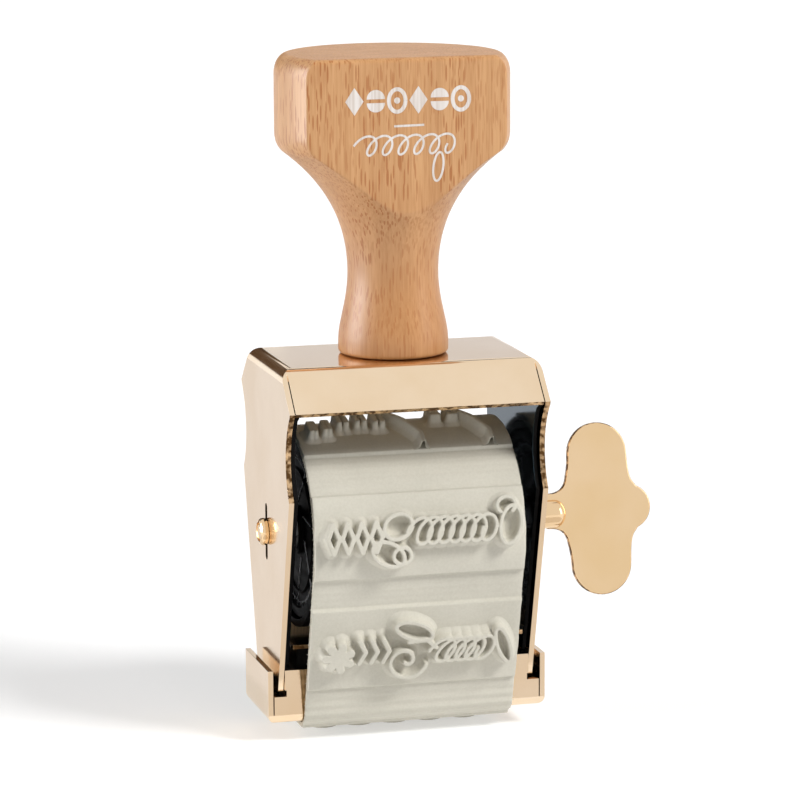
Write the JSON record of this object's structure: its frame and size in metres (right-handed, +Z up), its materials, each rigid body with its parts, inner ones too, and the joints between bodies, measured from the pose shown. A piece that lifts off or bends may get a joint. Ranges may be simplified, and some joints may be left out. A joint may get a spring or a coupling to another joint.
{
  "type": "rotary band stamp",
  "caption": "Hand stamp: endless relief rubber band on a drum in a folded sheet-metal frame, turned by a side key, under a waisted wooden handle.",
  "frame": {"origin": "middle of the printing face, on the face of the downward relief plate", "axes": "+X along the drum's axle towards the key, -Y towards the front with the handle's flat, +Z up through the handle"},
  "size_m": [0.0791, 0.0446, 0.1301],
  "materials": {
    "gold": "polished",
    "beech": "satin lacquer",
    "rubber": "matte",
    "cloth": "woven",
    "black": "gloss",
    "steel": "zinc plated"
  },
  "bodies": {
    "frame": {"frame_shell": "gold", "cheek_left": "black", "cheek_right": "black", "base_tray": "gold", "platen_block": "black", "platen_cover": "gold", "platen_screw_left": "steel", "platen_screw_right": "steel", "rubber_band": "rubber", "carrier_belt": "cloth", "handle": "beech", "handle_screw_left": "steel", "handle_screw_right": "steel"},
    "drum": {"drum_sleeve": "black", "drum_wheel_left": "black", "drum_wheel_right": "black", "drive_pin_left": "steel", "drive_pin_right": "steel", "spacer_left": "steel", "spacer_right": "steel", "axle": "gold", "axle_clip": "gold", "key_plate": "gold"}
  },
  "joints": [
    {"name": "key_turn", "type": "hinge", "parent": "frame", "child": "drum", "pos_m": [0, 0, 0.0394], "axis": [1, 0, 0], "continuous": true}
  ]
}
